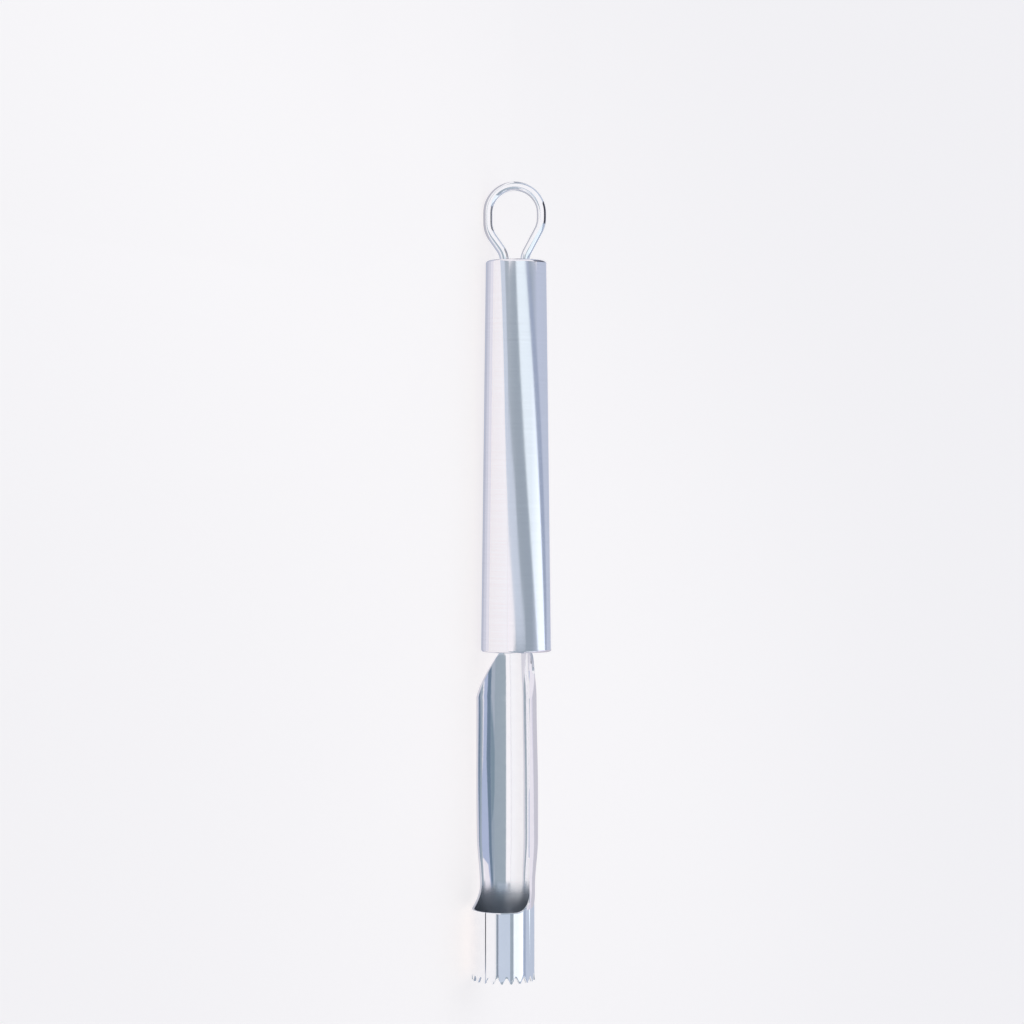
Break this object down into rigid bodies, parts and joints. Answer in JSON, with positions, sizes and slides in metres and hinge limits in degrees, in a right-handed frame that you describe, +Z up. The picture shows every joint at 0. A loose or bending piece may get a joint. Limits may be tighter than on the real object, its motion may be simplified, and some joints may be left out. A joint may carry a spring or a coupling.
{
  "type": "apple corer",
  "caption": "Kitchen corer for apples, with a tapered hollow handle, a wire loop to hang it by, and a trough-shaped blade that ends in a toothed ring.",
  "frame": {"origin": "on the table that the corer lies on, under the middle of the corer's bounding box", "axes": "+X along the corer from the hanging loop towards the cutting edge; +Z up from the table; the blade's opening faces -Y. It lies as it comes to rest, on the handle's lowest line and on one side of the loop, so the handle's axis slopes up by 0.7 degrees towards +X"},
  "size_m": [0.2248, 0.0254, 0.02],
  "materials": {
    "satin_steel": "satin, finely brushed round the handle",
    "polished_steel": "polished bright stainless steel"
  },
  "bodies": {
    "root": {"handle_sleeve": "satin_steel", "loop_cap": "satin_steel", "blade_cap": "satin_steel", "hanging_loop": "polished_steel", "coring_blade": "polished_steel"}
  },
  "joints": []
}
